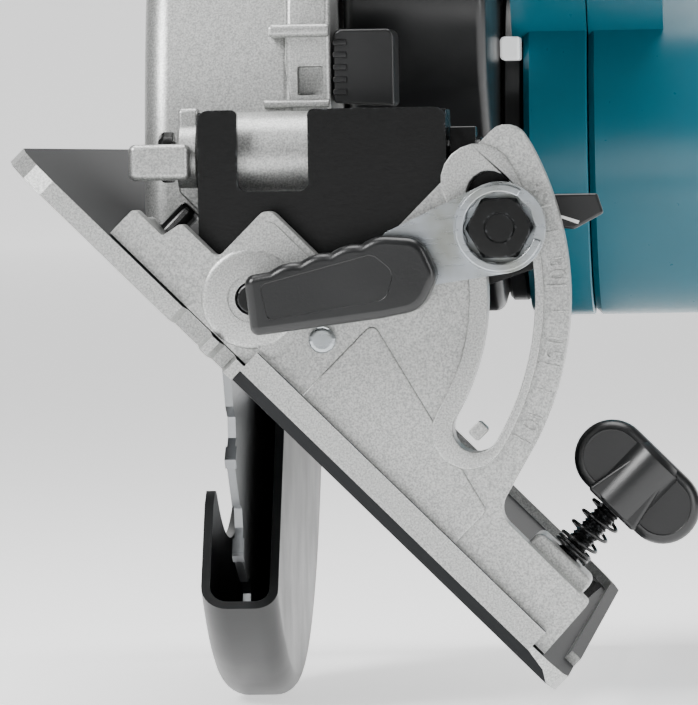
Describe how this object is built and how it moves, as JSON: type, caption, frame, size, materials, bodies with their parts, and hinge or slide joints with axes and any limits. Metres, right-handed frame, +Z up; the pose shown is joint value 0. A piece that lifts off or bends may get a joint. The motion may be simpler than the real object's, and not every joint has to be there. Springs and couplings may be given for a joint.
{
  "type": "circular saw",
  "caption": "Cordless circular saw tipped to its 45 degree bevel, with a swinging blade guard, a scaled quadrant, a clamp lever and a fence knob.",
  "frame": {"origin": "centre of the bounding box, at the lowest point", "axes": "+X towards the motor, +Y from the front of the base to its rear, +Z up the blade's plane"},
  "size_m": [0.1686, 0.3194, 0.2577],
  "materials": {
    "teal_nylon": "smooth moulded, slightly glossy",
    "black_nylon": "fine spark-eroded texture",
    "black_painted_steel": "black paint, worn at the edges",
    "soft_grip": "matte",
    "silver_painted_casting": "die-cast and painted silver, satin",
    "zinc_plated_steel": "bright zinc plate",
    "bare_steel": "ground",
    "copper_winding": "lacquered copper wire on a laminated core",
    "clear_lens": "clear, polished"
  },
  "bodies": {
    "saw": {"blade_case": "silver_painted_casting", "front_grip": "soft_grip", "gear_housing": "black_nylon", "handle_pad_left": "soft_grip", "handle_pad_right": "soft_grip", "housing_left": "teal_nylon", "housing_right": "teal_nylon", "housing_screw_1": "black_painted_steel", "housing_screw_2": "black_painted_steel", "housing_screw_3": "black_painted_steel", "housing_screw_4": "black_painted_steel", "led_lamp": "clear_lens", "motor_bearing_front": "bare_steel", "motor_bearing_rear": "bare_steel", "motor_flange": "black_nylon", "spindle_bearing": "bare_steel", "spindle_bearing_rear": "bare_steel", "stator": "copper_winding"},
    "tilt": {"bevel_clamp_nut": "black_painted_steel", "bevel_pointer": "black_nylon", "depth_guide": "zinc_plated_steel", "depth_pivot_bolt": "black_painted_steel", "depth_pivot_nut": "black_painted_steel", "front_bracket": "black_painted_steel", "front_pivot_pin": "black_painted_steel", "rear_pivot_pin": "zinc_plated_steel"},
    "base": {"base_plate": "silver_painted_casting", "bevel_quadrant": "silver_painted_casting", "fence_spring": "black_painted_steel", "quadrant_rivet": "zinc_plated_steel", "rear_pivot_bracket": "black_painted_steel", "stop_set_screw": "black_painted_steel"},
    "stop": {"positive_stop": "silver_painted_casting"},
    "bevel_lever": {"bevel_clamp_bolt": "black_painted_steel", "bevel_washer": "zinc_plated_steel", "lever_arm": "zinc_plated_steel", "lever_grip": "black_nylon"},
    "fence_screw": {"fence_knob": "black_nylon", "fence_screw": "zinc_plated_steel"},
    "guard": {"guard_lever": "black_nylon", "lower_guard": "black_nylon"},
    "blade": {"blade_bolt": "black_painted_steel", "inner_flange": "bare_steel", "outer_flange": "bare_steel", "saw_blade": "bare_steel", "spindle": "bare_steel", "spindle_gear": "bare_steel"},
    "rotor": {"cooling_fan": "black_nylon", "motor_shaft": "bare_steel", "pinion_gear": "bare_steel", "rotor_core": "bare_steel"},
    "trigger": {"trigger": "black_nylon"},
    "lock_off": {"lock_off_button": "black_nylon"},
    "shaft_lock": {"shaft_lock": "black_nylon"},
    "battery": {"battery_pack": "black_nylon"},
    "latch": {"battery_latch": "black_painted_steel"},
    "depth_lever": {"depth_clamp_bolt": "zinc_plated_steel", "depth_lever": "black_nylon"}
  },
  "joints": [
    {"name": "depth_adjust", "type": "hinge", "parent": "saw", "child": "tilt", "pos_m": [-0.03823, -0.12125, 0.11099], "axis": [1, 0, 0], "range_deg": [-34, 0]},
    {"name": "bevel_tilt", "type": "hinge", "parent": "tilt", "child": "base", "pos_m": [-0.03823, -0.14525, 0.08399], "axis": [0, 1, 0], "range_deg": [-45, 0]},
    {"name": "stop_turn", "type": "hinge", "parent": "tilt", "child": "stop", "pos_m": [-0.03823, -0.12125, 0.11099], "axis": [1, 0, 0], "range_deg": [-90, 0]},
    {"name": "bevel_lever_turn", "type": "hinge", "parent": "tilt", "child": "bevel_lever", "pos_m": [0.00931, -0.14525, 0.09664], "axis": [0, 1, 0], "range_deg": [0, 60]},
    {"name": "fence_knob_turn", "type": "hinge", "parent": "base", "child": "fence_screw", "pos_m": [0.03014, -0.12825, 0.04389], "axis": [0.7071, 0, 0.7071], "continuous": true},
    {"name": "guard_swing", "type": "hinge", "parent": "saw", "child": "guard", "pos_m": [-0.03823, -0.00725, 0.09899], "axis": [1, 0, 0], "range_deg": [0, 105], "stiffness_Nm_per_rad": 0.12, "springref_deg": -91.67},
    {"name": "blade_spin", "type": "hinge", "parent": "saw", "child": "blade", "pos_m": [-0.03823, -0.00725, 0.09899], "axis": [1, 0, 0], "continuous": true},
    {"name": "rotor_spin", "type": "hinge", "parent": "saw", "child": "rotor", "pos_m": [-0.03823, 0.00901, 0.11362], "axis": [1, 0, 0], "continuous": true},
    {"name": "trigger_pull", "type": "slide", "parent": "saw", "child": "trigger", "axis": [0, 0, 1], "range_m": [0, 0.006], "stiffness_N_per_m": 600, "springref_m": -0.004},
    {"name": "lock_off_press", "type": "slide", "parent": "saw", "child": "lock_off", "axis": [1, 0, 0], "range_m": [-0.0025, 0.0025], "stiffness_N_per_m": 500},
    {"name": "shaft_lock_press", "type": "slide", "parent": "saw", "child": "shaft_lock", "axis": [0, 1, 0], "range_m": [0, 0.003], "stiffness_N_per_m": 700, "springref_m": -0.002},
    {"name": "battery_slide", "type": "slide", "parent": "saw", "child": "battery", "axis": [0, 1, 0], "range_m": [0, 0.108]},
    {"name": "latch_press", "type": "slide", "parent": "battery", "child": "latch", "axis": [0, 0, -1], "range_m": [0, 0.003], "stiffness_N_per_m": 500, "springref_m": -0.002},
    {"name": "depth_lever_turn", "type": "hinge", "parent": "saw", "child": "depth_lever", "pos_m": [-0.03823, 0.07284, 0.13826], "axis": [1, 0, 0], "range_deg": [-40, 40]}
  ],
  "couplings": [
    {"joint": "rotor_spin", "follows": "blade_spin", "ratio": -4}
  ]
}
